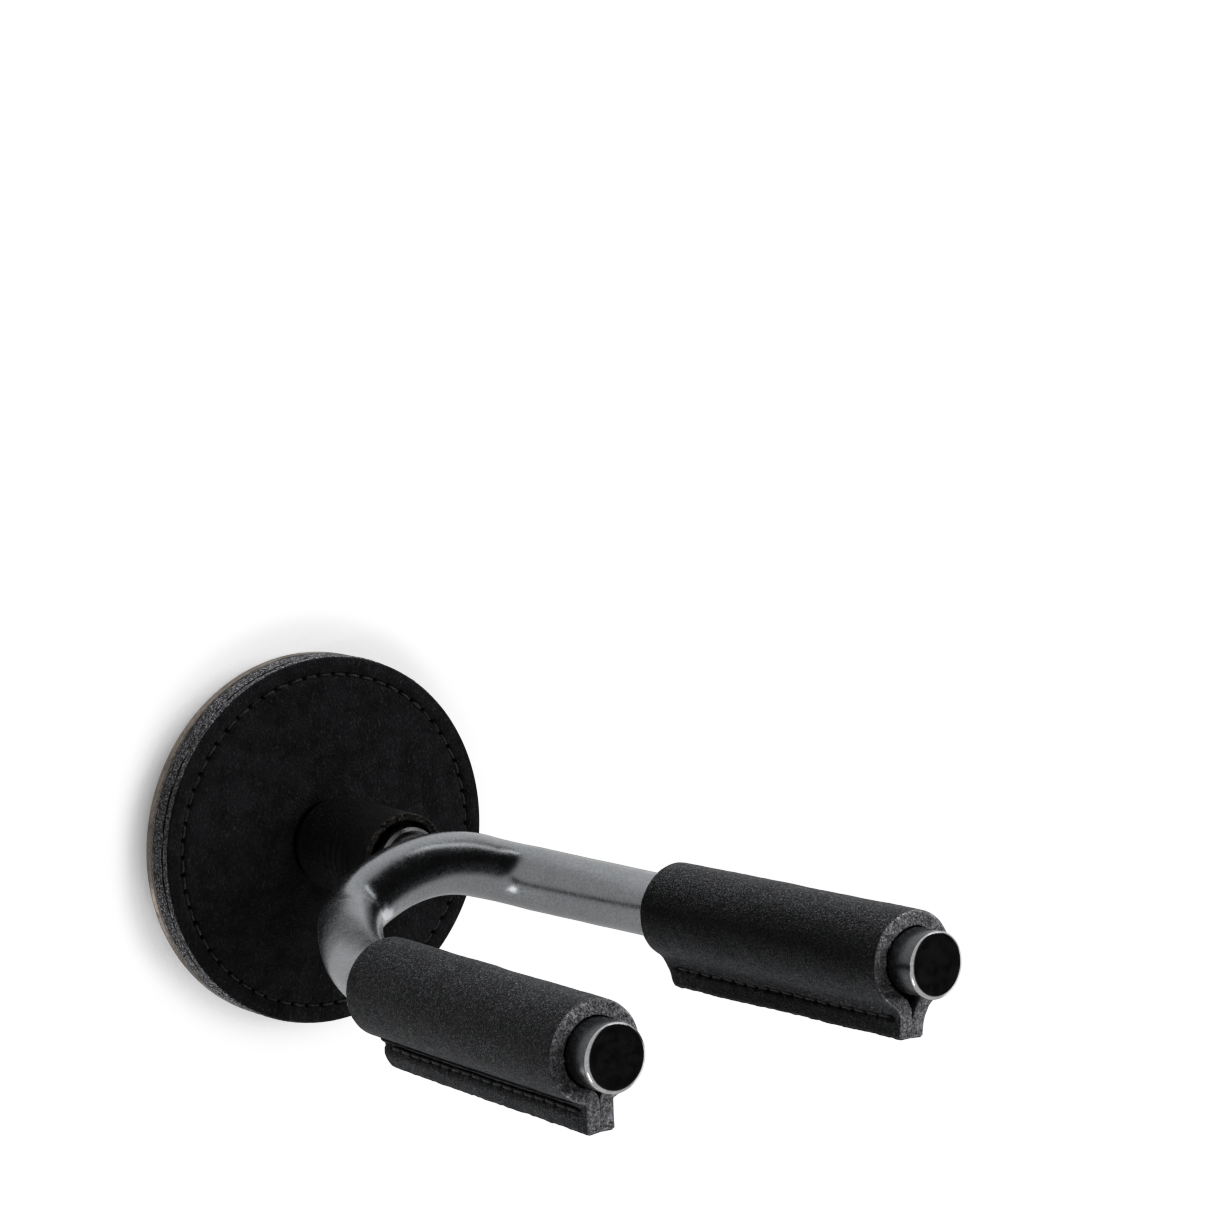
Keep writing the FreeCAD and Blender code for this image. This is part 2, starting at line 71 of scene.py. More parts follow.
def lattice(i, seed):
    """A repeatable random number from -1 to 1 for each integer lattice point, by scrambling its bits."""
    n = i[..., 0] * 374761393 + i[..., 1] * 668265263 + i[..., 2] * 362437 + seed * 144269504
    n = (n ^ (n >> 13)) * 1274126177 & 0x7FFFFFFF
    n = (n ^ (n >> 16)) * 668265263 & 0x7FFFFFFF
    return ((n ^ (n >> 15)) & 0xFFFF) / 32767.5 - 1


def noise(points, size, seed, octaves=1):
    """Smooth noise, about -1 to 1, with features of the given size, which may differ along x, y and z."""
    total = np.zeros(points.shape[:-1])
    for octave in range(octaves):
        q = points / np.asarray(size, float) * 2**octave + 31.7 * (seed + octave)
        i = np.floor(q).astype(np.int64)
        f = q - i
        f = f * f * (3 - 2 * f)
        for corner in np.ndindex(2, 2, 2):
            weight = np.ones(points.shape[:-1])
            for k in range(3):
                weight = weight * (f[..., k] if corner[k] else 1 - f[..., k])
            total += weight * lattice(i + np.array(corner), seed + octave) / 2**octave
    return total


def bump_at(x, width):
    """A smooth hump of height 1 at x = 0."""
    return np.exp(-((x / width) ** 2))


def smooth(x, low, high):
    """A smooth step from 0 at low to 1 at high."""
    t = np.clip((x - low) / (high - low), 0, 1)
    return t * t * (3 - 2 * t)


def normals_of(rings):
    """Unit normals of a tube's rings of points, from the differences of their neighbours."""
    n = np.cross(np.gradient(rings, axis=0), np.roll(rings, -1, 1) - np.roll(rings, 1, 1))
    return n / np.maximum(np.linalg.norm(n, axis=-1, keepdims=True), 1e-9)


# ---------------------------------------------------------------- meshes

def add_object(name, verts, faces, materials, indices=None, matrix=None):
    """A smooth-shaded mesh from points in mm. indices gives each face's place in the list of materials."""
    mesh = bpy.data.meshes.new(name)
    mesh.from_pydata((np.asarray(verts) * MM).tolist(), [], faces)
    for material in materials:
        mesh.materials.append(material)
    if indices is not None:
        mesh.polygons.foreach_set("material_index", np.asarray(indices, np.int32))
    mesh.polygons.foreach_set("use_smooth", np.ones(len(faces), bool))
    mesh.update()
    mesh.validate()
    obj = bpy.data.objects.new(name, mesh)
    bpy.context.scene.collection.objects.link(obj)
    if matrix is not None:
        obj.matrix_world = matrix
    return obj


def ring_faces(rows, columns, closed):
    """Quads between rings of points, numbered ring by ring. closed joins the last ring to the first."""
    u = np.arange(rows if closed else rows - 1)
    v = np.arange(columns)
    uu, vv = np.meshgrid(u, v, indexing="ij")
    a = uu * columns + vv
    b = (uu + 1) % rows * columns + vv
    c = (uu + 1) % rows * columns + (vv + 1) % columns
    d = uu * columns + (vv + 1) % columns
    return np.stack([a, b, c, d], -1).reshape(-1, 4).tolist()


def revolve(profile, segments):
    """Points of a closed profile of (radius, distance) turned about the stem's axis: rows go round it."""
    angles = np.arange(segments) / segments * TAU
    r, d = np.asarray(profile, float).T
    x = np.cos(angles)[:, None] * r
    z = np.sin(angles)[:, None] * r
    y = np.broadcast_to(-d, x.shape)
    return np.stack([x, y, z], -1), angles


def run(start, finish, step):
    """Points from start to finish, finish left out, about a step apart."""
    start, finish = np.asarray(start, float), np.asarray(finish, float)
    count = max(1, round(np.linalg.norm(finish - start) / step))
    return [start + (finish - start) * i / count for i in range(count)]


def corner(centre, radius, start_deg, finish_deg, steps=4):
    """Points round a corner of a profile, the last left out."""
    angles = np.radians(np.linspace(start_deg, finish_deg, steps + 1)[:-1])
    return [np.asarray(centre) + radius * np.array([math.cos(a), math.sin(a)]) for a in angles]


# ---------------------------------------------------------------- node materials

class Shader:
    """A material built from nodes. Lengths are in mm, on object coordinates."""

    def __init__(self, name, roughness, metallic=0.0, **sockets):
        self.material = bpy.data.materials.new(name)
        self.material.use_nodes = True
        self.tree = self.material.node_tree
        self.shader = self.tree.nodes["Principled BSDF"]
        self.shader.inputs["Metallic"].default_value = metallic
        self.shader.inputs["Roughness"].default_value = roughness
        for socket, number in sockets.items():
            self.shader.inputs[socket.replace("_", " ")].default_value = number
        coordinates = self.tree.nodes.new("ShaderNodeTexCoord")
        self.place = coordinates.outputs["Object"]

    def add(self, kind, **inputs):
        node = self.tree.nodes.new(kind)
        for name, given in inputs.items():
            self.feed(node.inputs[name.replace("_", " ")], given)
        return node

    def feed(self, socket, given):
        if isinstance(given, bpy.types.NodeSocket):
            self.tree.links.new(given, socket)
        else:
            socket.default_value = given

    def stretched(self, x, y, z):
        """Coordinates in which one unit is x, y and z mm."""
        node = self.add("ShaderNodeMapping", Vector=self.place)
        node.inputs["Scale"].default_value = (1 / (x * MM), 1 / (y * MM), 1 / (z * MM))
        return node.outputs["Vector"]

    def noise(self, size, detail=3.0, roughness=0.55, stretch=(1, 1, 1), distortion=0.0):
        """Noise from 0 to 1 with features of the given size."""
        where = self.stretched(*(size * s for s in stretch))
        node = self.add("ShaderNodeTexNoise", Vector=where, Scale=1.0, Detail=detail,
                        Roughness=roughness, Distortion=distortion)
        return node.outputs["Fac"]

    def cells(self, size, warp, feature="DISTANCE_TO_EDGE"):
        """Irregular cells of the given size, with their outlines warped by noise."""
        where = self.stretched(size, size, size)
        wobble = self.add("ShaderNodeTexNoise", Vector=where, Scale=1.3, Detail=2.0)
        offset = self.add("ShaderNodeVectorMath")
        offset.operation = "SCALE"
        self.feed(offset.inputs[0], wobble.outputs["Color"])
        offset.inputs["Scale"].default_value = warp
        moved = self.add("ShaderNodeVectorMath")
        self.feed(moved.inputs[0], where)
        self.feed(moved.inputs[1], offset.outputs["Vector"])
        node = self.add("ShaderNodeTexVoronoi", Vector=moved.outputs["Vector"], Scale=1.0)
        node.feature = feature
        return node.outputs["Distance"]

    def math(self, operation, a, b=0.0):
        node = self.tree.nodes.new("ShaderNodeMath")
        node.operation = operation
        self.feed(node.inputs[0], a)
        self.feed(node.inputs[1], b)
        return node.outputs[0]

    def span(self, source, low, high, to_low=0.0, to_high=1.0):
        """Map a range of a value to another, smoothly, and hold it there outside the range."""
        node = self.tree.nodes.new("ShaderNodeMapRange")
        node.interpolation_type = "SMOOTHSTEP"
        for name, given in (("Value", source), ("From Min", low), ("From Max", high),
                            ("To Min", to_low), ("To Max", to_high)):
            self.feed(node.inputs[name], given)
        return node.outputs["Result"]

    def mix(self, factor, a, b):
        """Mix two colours, each a tuple or a socket."""
        node = self.tree.nodes.new("ShaderNodeMix")
        node.data_type = "RGBA"
        self.feed(node.inputs["Factor"], factor)
        for socket, given in ((node.inputs[6], a), (node.inputs[7], b)):
            self.feed(socket, (*given, 1.0) if isinstance(given, tuple) else given)
        return node.outputs[2]

    def split(self):
        node = self.add("ShaderNodeSeparateXYZ", Vector=self.place)
        return node.outputs["X"], node.outputs["Y"], node.outputs["Z"]

    def hypot(self, a, b):
        return self.math("SQRT", self.math("ADD", self.math("MULTIPLY", a, a), self.math("MULTIPLY", b, b)))

    def relief(self, *layers):
        """Bump from pairs of (height from 0 to 1, depth in mm), chained into the normal."""
        normal = None
        for height, depth in layers:
            bump = self.tree.nodes.new("ShaderNodeBump")
            bump.inputs["Distance"].default_value = depth * MM
            self.feed(bump.inputs["Height"], height)
            if normal is not None:
                self.feed(bump.inputs["Normal"], normal)
            normal = bump.outputs["Normal"]
        self.feed(self.shader.inputs["Normal"], normal)

    def finish(self, color, roughness=None):
        self.feed(self.shader.inputs["Base Color"], color)
        if roughness is not None:
            self.feed(self.shader.inputs["Roughness"], roughness)
        return self.material


def scaled(color, factor):
    """A lighter or darker tone of a colour."""
    return tuple(min(1, c * factor) for c in color)


def grain_leather(name, dark, light, rough, shine, cell=0.55):
    """Smooth-grained leather: small pebbles, pores, faint long creases, slight unevenness of dye, and painted
    shade in the crevices between pebbles.
    """
    s = Shader(name, rough, Specular_IOR_Level=shine)
    pebbles = s.span(s.cells(cell, warp=0.9), 0.0, 0.36)
    fine = s.noise(0.3, detail=3.0, roughness=0.6)
    creases = s.span(s.noise(2.6, detail=4.0, stretch=(1, 2.2, 1), distortion=0.6), 0.47, 0.53)
    dye = s.noise(7.0, detail=3.0)
    s.relief((s.noise(3.5, detail=3.0), 0.25), (creases, 0.02), (pebbles, 0.085), (fine, 0.11))
    speckle = s.noise(cell * 1.1, detail=2.0, roughness=0.6)
    tone = s.mix(s.span(dye, 0.3, 0.7), dark, light)
    tone = s.mix(s.span(speckle, 0.36, 0.5, 0.7, 0.0), tone, scaled(dark, 0.2))
    tone = s.mix(s.span(speckle, 0.5, 0.66, 0.0, 0.7), tone, scaled(light, 2.2))
    # painted shade: the colour is darker in the crevices between the pebbles, where the bump sinks
    tone = s.mix(s.span(pebbles, 0.0, 0.6, 0.85, 0.0), tone, scaled(dark, 0.12))
    uneven = s.span(dye, 0.25, 0.75, rough - 0.06, rough + 0.06)
    return s.finish(tone, s.math("ADD", uneven, s.span(pebbles, 0, 1, 0.1, 0.0)))


def napped_leather(name, dark, light, fleck=2.6):
    """Matte leather with a short nap: soft mottling and fine fibres, with no gloss, and painted shade in the
    grain's sunken outlines.
    """
    s = Shader(name, 0.85, Specular_IOR_Level=0.07)
    mottle = s.noise(4.5, detail=5.0, roughness=0.65)
    fibres = s.noise(0.45, detail=4.0, roughness=0.7, stretch=(1, 1, 1.9))
    grain = s.cells(0.75, warp=1.2)
    s.relief((mottle, 0.15), (s.span(grain, 0, 0.3), 0.06), (fibres, 0.2))
    tone = s.mix(s.span(mottle, 0.32, 0.68), dark, light)
    tone = s.mix(s.span(fibres, 0.53, 0.74, 0.0, 0.7), tone, scaled(light, fleck))
    # painted shade: the colour is darker along the sunken outlines of the grain
    tone = s.mix(s.span(grain, 0.0, 0.2, 0.5, 0.0), tone, scaled(dark, 0.3))
    return s.finish(tone, s.span(fibres, 0.35, 0.7, 0.95, 0.8))


def cut_leather(name, dark, light, fleck):
    """The raw cut edge: dyed fibres in layers, with paler flecks where the dye is thin and painted shade in
    its pits.
    """
    s = Shader(name, 0.88, Specular_IOR_Level=0.12)
    fibres = s.noise(0.45, detail=4.0, roughness=0.7)
    clumps = s.noise(1.1, detail=3.0)
    pits = s.cells(0.6, feature="F1", warp=1.0)
    s.relief((clumps, 0.25), (fibres, 0.3), (s.span(pits, 0.1, 0.6), 0.16))
    tone = s.mix(s.span(clumps, 0.35, 0.65), dark, light)
    tone = s.mix(s.span(fibres, 0.49, 0.6, 0.0, 0.9), tone, fleck)
    # painted shade: the colour is darker in the sunken pits
    tone = s.mix(s.span(pits, 0.05, 0.36, 0.9, 0.0), tone, scaled(dark, 0.15))
    return s.finish(tone, s.span(fibres, 0.3, 0.7, 0.95, 0.8))


def forged_steel(name, dark, light, rough, cloudy=0.2):
    """Dark satin steel from the forge: a fine mottle, faint scratches and slightly cloudy gloss."""
    s = Shader(name, rough, metallic=1.0)
    cloud = s.noise(5.0, detail=5.0, roughness=0.6)
    mottle = s.noise(0.5, detail=4.0, roughness=0.7)
    scratches = s.span(s.noise(0.4, detail=2.0, stretch=(0.5, 12, 0.5)), 0.6, 0.68)
    s.relief((cloud, 0.03), (mottle, 0.012), (s.noise(0.16, detail=2.0), 0.004))
    tone = s.mix(s.span(mottle, 0.3, 0.7), dark, light)
    tone = s.mix(s.span(cloud, 0.4, 0.7, 0.0, cloudy), tone, scaled(dark, 0.6))
    tone = s.mix(s.math("MULTIPLY", scratches, 0.15), tone, scaled(light, 1.4))
    uneven = s.span(mottle, 0.3, 0.75, rough - 0.04, rough + 0.05)
    return s.finish(tone, s.math("ADD", uneven, s.span(cloud, 0.3, 0.7, -0.03, 0.03)))


def turned_steel(name, color, rough, pitch=0.12, marks=0.004):
    """Steel with turning marks round the object's Y axis. pitch and marks are their spacing and depth."""
    s = Shader(name, rough, metallic=1.0)
    x, y, z = s.split()
    turns = s.math("DIVIDE", s.math("ADD", s.hypot(x, z), y), pitch * MM * TAU)
    where = s.add("ShaderNodeCombineXYZ", X=turns)
    rings = s.add("ShaderNodeTexWave", Vector=where.outputs["Vector"], Scale=1.0, Distortion=0.8, Detail=3.0)
    smear = s.noise(1.6, detail=3.0)
    s.relief((rings.outputs["Fac"], marks), (smear, 0.005))
    tone = s.mix(s.span(smear, 0.3, 0.7), scaled(color, 0.85), color)
    return s.finish(tone, s.span(smear, 0.3, 0.7, rough - 0.05, rough + 0.1))


def plated_steel(name, dark, light, rough):
    """Copper-brown plating, rubbed lighter in streaks, with a few dull stains."""
    s = Shader(name, rough, metallic=1.0)
    streaks = s.noise(0.9, detail=4.0, stretch=(7, 0.15, 0.7))
    stains = s.noise(5.0, detail=5.0, roughness=0.65)
    s.relief((streaks, 0.006), (s.noise(0.3, detail=2.0), 0.006))
    tone = s.mix(s.span(streaks, 0.35, 0.65), dark, light)
    tone = s.mix(s.span(stains, 0.5, 0.75, 0.0, 0.5), tone, scaled(dark, 0.4))
    return s.finish(tone, s.span(stains, 0.3, 0.75, rough - 0.05, rough + 0.2))


def zinc_steel(name):
    """Zinc-plated hardware: a bright grey with a faint bloom and handling marks."""
    s = Shader(name, 0.32, metallic=1.0)
    bloom = s.noise(1.8, detail=4.0)
    marks = s.span(s.noise(0.35, detail=2.0, stretch=(1, 1, 8)), 0.6, 0.68)
    s.relief((bloom, 0.015), (marks, 0.006))
    tone = s.mix(s.span(bloom, 0.3, 0.7), (0.38, 0.38, 0.4), (0.58, 0.58, 0.57))
    return s.finish(s.mix(s.math("MULTIPLY", marks, 0.4), tone, (0.75, 0.75, 0.75)),
                    s.span(bloom, 0.3, 0.7, 0.24, 0.42))


def nylon(name):
    """Turned black nylon: a waxy, slightly uneven surface."""
    s = Shader(name, 0.45, Specular_IOR_Level=0.45)
    haze = s.noise(1.5, detail=3.0)
    s.relief((s.noise(0.25, detail=2.0, stretch=(1, 0.3, 1)), 0.01))
    return s.finish(s.mix(s.span(haze, 0.3, 0.7), (0.012, 0.012, 0.013), (0.03, 0.03, 0.03)),
                    s.span(haze, 0.3, 0.7, 0.38, 0.55))


def waxed_thread(name, dark, light):
    """Twisted waxed thread: fine fibres over the modelled twist."""
    s = Shader(name, 0.5, Specular_IOR_Level=0.2)
    fibres = s.noise(0.12, detail=3.0)
    s.relief((fibres, 0.03))
    return s.finish(s.mix(s.span(fibres, 0.4, 0.65), dark, light), s.span(fibres, 0.3, 0.7, 0.55, 0.4))


# dark tone, light tone, and for cut leather the tone of its flecks
GRIP_LEATHER = grain_leather("grip_grain", (0.014, 0.0144, 0.0154), (0.0192, 0.0198, 0.0212),
                             rough=0.42, shine=0.045)
# painted shade: the sleeve's leather is coloured far darker than the grips' to stand in for shade falling on
# the stem
WRAP_SHADED_LEATHER = grain_leather("wrap_grain_painted_shade", (0.0013, 0.0013, 0.0014), (0.0023, 0.0023, 0.0024),
                             rough=0.4, shine=0.12, cell=0.5)
FACE_LEATHER = napped_leather("face_nap", (0.0021, 0.0021, 0.0023), (0.0044, 0.0045, 0.0049), fleck=3.4)
SUEDE = napped_leather("flesh_side", (0.005, 0.005, 0.005), (0.011, 0.011, 0.0112))
RIM_LEATHER = cut_leather("rim_cut", (0.007, 0.007, 0.0075), (0.021, 0.021, 0.022), (0.1, 0.1, 0.105))
EDGE_LEATHER = cut_leather("edge_cut", (0.038, 0.038, 0.0405), (0.062, 0.062, 0.0657), (0.14, 0.14, 0.1485))
WRAP_EDGE = cut_leather("wrap_cut", (0.002, 0.0019, 0.0018), (0.005, 0.0047, 0.0042), (0.018, 0.0168, 0.015))
YOKE_STEEL = forged_steel("forged_bar", (0.28, 0.291, 0.304), (0.41, 0.424, 0.442), rough=0.25, cloudy=0.1)
# painted shade: darker steel on the bar near each end, for the shade where it runs out of the grip
END_SHADE_STEEL = forged_steel("bar_end_painted_shade", (0.1, 0.103, 0.107), (0.17, 0.175, 0.182), rough=0.24, cloudy=0.1)
# painted highlight: much lighter steel on the rounded edge of each bar end, to brighten its highlights
RIM_HIGHLIGHT_STEEL = forged_steel("rim_painted_highlight", (0.62, 0.62, 0.63), (0.85, 0.85, 0.86), rough=0.12)
# the stem tube is coloured near black; it shows in the gap between the cover and the sleeve
TUBE_STEEL = forged_steel("near_black_tube", (0.018, 0.018, 0.02), (0.05, 0.05, 0.052), rough=0.42)
# painted shade: the end faces are coloured near black to stand in for the dark reflection on them; the
# turning marks are the steel's own
END_STEEL = turned_steel("turned_end_painted_shade", (0.05, 0.05, 0.052), rough=0.4, pitch=0.4, marks=0.001)
SHAFT_STEEL = turned_steel("turned_shaft", (0.25, 0.25, 0.255), rough=0.26)
PLATE_STEEL = plated_steel("plated_plate", (0.09, 0.0755, 0.0645), (0.27, 0.227, 0.192), rough=0.28)
FIXING_STEEL = zinc_steel("zinc_fixing")
NYLON = nylon("black_nylon")
THREAD = waxed_thread("black_thread", (0.0025, 0.0025, 0.0027), (0.0135, 0.0135, 0.0143))


# ---------------------------------------------------------------- leather cover of the wall plate

def seam_wander(points):
    """How far the seam round the disc strays outwards."""
    return 0.12 * noise(points, 9.0, seed=5)


def disc_face_relief(points, angles):
    """How far each point of the face stands proud of flat: seam channel, needle holes, rim lip and waves."""
    r = np.hypot(points[..., 0], points[..., 2])
    beat = angles[:, None] * DISC_STITCHES / TAU
    from_hole = (beat - np.round(beat)) / DISC_STITCHES * TAU * SEAM_R
    across = r - SEAM_R - seam_wander(points)
    strength = 0.75 + 0.5 * noise(points, 3.1, seed=6)
    channel = -0.3 * bump_at(across, 0.55)
    holes = -0.8 * strength * bump_at(np.hypot(across, from_hole), 0.38)
    pinch = 0.12 * bump_at(from_hole, 0.5) * bump_at(across, 1.6)
    lip = 0.13 * bump_at(across - 1.7, 0.9) + 0.07 * bump_at(across + 1.6, 1.1)
    waves = 0.10 * noise(points, 13.0, seed=3, octaves=2) + 0.03 * noise(points, 2.2, seed=8, octaves=2)
    return channel + holes - pinch + lip + waves


def widen(grid, by):
    """Move points away from the stem's axis by so many mm."""
    shape = 1 + by / np.maximum(np.hypot(grid[..., 0], grid[..., 2]), 1)
    grid[..., 0] *= shape
    grid[..., 2] *= shape


def add_revolved(name, grid, cut, materials, replaced):
    """A ring-shaped leather piece. Where cut is true along the profile, it takes the second material."""
    rows, columns = grid.shape[:2]
    obj = add_object(name, grid.reshape(-1, 3), ring_faces(rows, columns, closed=True), materials,
                     np.tile(cut.astype(int), rows))
    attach(obj, "base")
    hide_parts(replaced)


def make_front_ply():
    back, front = PLY_GAP + 0.05, FACE
    hole, outer = HOLE_R + 0.1, DISC_R - 0.05
    lip, edge, heel = 0.4, 0.55, 0.4  # roundings at the hole, the rim's front and the rim's back
    seam_start, seam_finish = SEAM_R - 2.2, SEAM_R + 2.2
    profile = [
        *run((hole, back), (hole, front - lip), 0.5),
        *corner((hole + lip, front - lip), lip, 180, 90),
        *run((hole + lip, front), (seam_start, front), 0.55),
        *run((seam_start, front), (seam_finish, front), 0.16),
        *run((seam_finish, front), (outer - edge, front), 0.25),
        *corner((outer - edge, front - edge), edge, 90, 0, 5),
        *run((outer, front - edge), (outer, back + heel), 0.16),
        *corner((outer - heel, back + heel), heel, 0, -90, 5),
        *run((outer - heel, back), (hole, back), 3.0),
    ]
    grid, angles = revolve(profile, DISC_STITCHES * 15)
    r = np.hypot(grid[..., 0], grid[..., 2])
    depth = -grid[..., 1]
    facing = smooth(depth, front - 0.6, front - 0.05) * smooth(outer - r, 0.05, 0.7)
    grid[..., 1] -= facing * disc_face_relief(grid, angles)
    side = smooth(r, outer - 0.35, outer) * smooth(front - depth, 0.25, 0.6)
    rough = 0.09 * noise(grid, (0.9, 0.45, 0.9), seed=11, octaves=2) + 0.12 * noise(grid, 6.0, seed=12)
    widen(grid, side * rough)
    radius, height = np.asarray(profile).T
    rim = (radius > outer - 0.45) & (height < front - 0.14) & (height > back + 0.18)
    add_revolved("cover_face_leather", grid, rim, [FACE_LEATHER, RIM_LEATHER], "cover_front_ply")


def make_rear_ply():
    back, front = PLATE_FRONT + 0.04, PLY_GAP - 0.04
    hole, outer = HOLE_R + 0.1, DISC_R - 0.1
    edge, heel = 0.45, 0.3  # roundings at the rim's front and back
    profile = [
        *run((hole, back), (hole, front), 1.0),
        *run((hole, front), (outer - edge, front), 3.0),
        *corner((outer - edge, front - edge), edge, 90, 0, 5),
        *run((outer, front - edge), (outer, back + heel), 0.17),
        *corner((outer - heel, back + heel), heel, 0, -90, 3),
        *run((outer - heel, back), (hole, back), 3.0),
    ]
    grid, _ = revolve(profile, 900)
    depth = -grid[..., 1]
    side = smooth(np.hypot(grid[..., 0], grid[..., 2]), outer - 0.35, outer)
    layers = 0.05 * np.sin(depth * 6.5 + 1.5 * noise(grid, 8.0, seed=21))
    rough = layers + 0.09 * noise(grid, (1.0, 0.4, 1.0), seed=22, octaves=2) + 0.1 * noise(grid, 7.0, seed=23)
    gaping = smooth(noise(grid, (3.0, 9.0, 3.0), seed=24), -0.3, 0.5)
    rough -= 0.25 * smooth(depth, front - 1.0, front - 0.2) * gaping
    widen(grid, side * rough)
    radius, height = np.asarray(profile).T
    inside = (height > front - 0.2) | (radius < outer - 0.5)
    add_revolved("cover_backing_leather", grid, inside, [RIM_LEATHER, FACE_LEATHER], "cover_rear_ply")


def stitch_tube(path, radius):
    """Points of one stitch: a two-ply twisted tube along a path, closed at both ends."""
    sides, twist, swelling = 10, 1.7, 0.16
    hint = np.array([0.13, 0.21, 0.97])  # the tube's side is square to this direction
    path = np.asarray(path, float)
    along = np.gradient(path, axis=0)
    along /= np.linalg.norm(along, axis=1, keepdims=True)
    side = np.cross(along, hint)
    side /= np.linalg.norm(side, axis=1, keepdims=True)
    up = np.cross(side, along)
    turns = np.arange(sides) / sides * TAU
    lengths = np.concatenate([[0], np.cumsum(np.linalg.norm(np.diff(path, axis=0), axis=1))])
    from_end = np.minimum(lengths, lengths[-1] - lengths)
    taper = np.sin(np.clip(from_end / (radius * 1.2), 0.06, 1) * math.pi / 2)
    swell = 1 + swelling * np.cos(2 * (turns[None, :] - lengths[:, None] * twist))
    ring = radius * taper[:, None] * swell
    points = (path[:, None] + ring[..., None] * (np.cos(turns)[None, :, None] * side[:, None]
                                                  + np.sin(turns)[None, :, None] * up[:, None]))
    faces = ring_faces(len(path), sides, closed=False)
    faces.append(list(range(sides))[::-1])
    faces.append([(len(path) - 1) * sides + k for k in range(sides)])
    return points.reshape(-1, 3), faces


def add_thread(name, tubes, body, replaced, matrix=None):
    """All the stitches of a seam as one object."""
    verts, faces = [], []
    for points, tube_faces in tubes:
        base = sum(len(v) for v in verts)
        verts.append(points)
        faces += [[i + base for i in face] for face in tube_faces]
    obj = add_object(name, np.concatenate(verts), faces, [THREAD], None, matrix)
    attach(obj, body)
    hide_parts(replaced)


def make_disc_thread():
    tubes = []
    gap, buried, rise = 0.1, 0.75, 0.52  # ends' share of the pitch, their depth, and the middle's rise
    rng = np.random.default_rng(4)
    for k in range(DISC_STITCHES):
        lean, lift = rng.normal(0, 0.12), rng.normal(-0.03, 0.05)
        t = np.linspace(gap + 0.04 * rng.random(), 1 - gap - 0.04 * rng.random(), 13)
        angle = (k + t) * (TAU / DISC_STITCHES)
        where = np.stack([np.cos(angle), np.zeros_like(angle), np.sin(angle)], -1) * SEAM_R
        r = SEAM_R + seam_wander(where) + lean * (t - 0.5) * 2
        depth = FACE - buried + (rise + lift) * np.sin(np.pi * t) ** 0.5
        tubes.append(stitch_tube(np.stack([np.cos(angle) * r, -depth, np.sin(angle) * r], -1), DISC_THREAD_R))
    add_thread("cover_stitches", tubes, "base", "cover_thread")


# ---------------------------------------------------------------- stem sleeve

def round_angle(theta, at_deg):
    """Angle from a given direction, from -pi to pi."""
    return np.angle(np.exp(1j * (theta - math.radians(at_deg))))


def make_stem_wrap():
    inner, outer = HOLE_R + 0.08, WRAP_R
    rear, front = WRAP_START, WRAP_FINISH
    edge, rear_lip, front_lip = 0.45, 0.2, 0.3  # roundings outside, and inside at the rear and the front
    profile = [
        *run((inner, front - front_lip), (inner, rear + rear_lip), 1.0),
        *corner((inner + rear_lip, rear + rear_lip), rear_lip, 180, 270, 2),
        *run((inner + rear_lip, rear), (outer - edge, rear), 0.3),
        *corner((outer - edge, rear + edge), edge, -90, 0, 4),
        *run((outer, rear + edge), (outer, front - edge), 0.2),
        *corner((outer - edge, front - edge), edge, 0, 90, 4),
        *run((outer - edge, front), (inner + front_lip, front), 0.2),
        *corner((inner + front_lip, front - front_lip), front_lip, 90, 180, 3),
    ][::-1]
    grid, angles = revolve(profile, 300)
    r = np.hypot(grid[..., 0], grid[..., 2])
    depth = -grid[..., 1]
    theta = angles[:, None]
    skin = smooth(r, outer - 0.5, outer - 0.05)
    fold_deg, fold_pitch, fold_middle = 215, 2.3, 25.5
    creased = bump_at(round_angle(theta, fold_deg), 0.75)
    wave = depth + 0.9 * noise(grid, (5, 8, 5), seed=31) + 1.2 * np.cos(theta * 2)
    folds = np.sin(wave * TAU / fold_pitch) * bump_at(depth - fold_middle, 4.2)
    relief = 0.3 * creased * folds + 0.1 * noise(grid, (4, 3, 4), seed=32, octaves=2) - 0.16
    seam = round_angle(theta, 282) * outer
    relief = relief - 0.5 * bump_at(seam, 0.35) + 0.12 * bump_at(np.abs(seam) - 1.0, 0.6)
    near_front = smooth(depth, front - 0.7, front)
    grid[..., 1] -= near_front * noise(grid, 1.1, seed=33, octaves=2) * 0.28 - 0.1 * near_front
    shape = 1 + skin * relief / r
    grid[..., 0] *= shape
    grid[..., 2] *= shape
    radius, height = np.asarray(profile).T
    cut = ((height > front - 0.2) & (radius < outer - 0.15)) | (height < rear + 0.3)
    add_revolved("stem_sleeve_leather", grid, cut, [WRAP_SHADED_LEATHER, WRAP_EDGE], "stem_wrap")


# ---------------------------------------------------------------- yoke

# the last two kinds are painted: shade on the bar near its ends, and a highlight on their rounded edges
BAR_STEELS = [YOKE_STEEL, END_STEEL, RIM_HIGHLIGHT_STEEL, END_SHADE_STEEL]
SATIN, TURNED, BRIGHT_RIM, DARK = range(4)


def yoke_frame():
    """Where the yoke's own frame lies: raised at the arms and turned about the stem's axis."""
    hub = Matrix.Translation((0, -YOKE_OUT * MM, 0))
    rise = hub @ Matrix.Rotation(math.radians(-RISE_DEG), 4, "X") @ hub.inverted()
    return Matrix.Rotation(math.radians(-SWIVEL_DEG), 4, "Y") @ rise


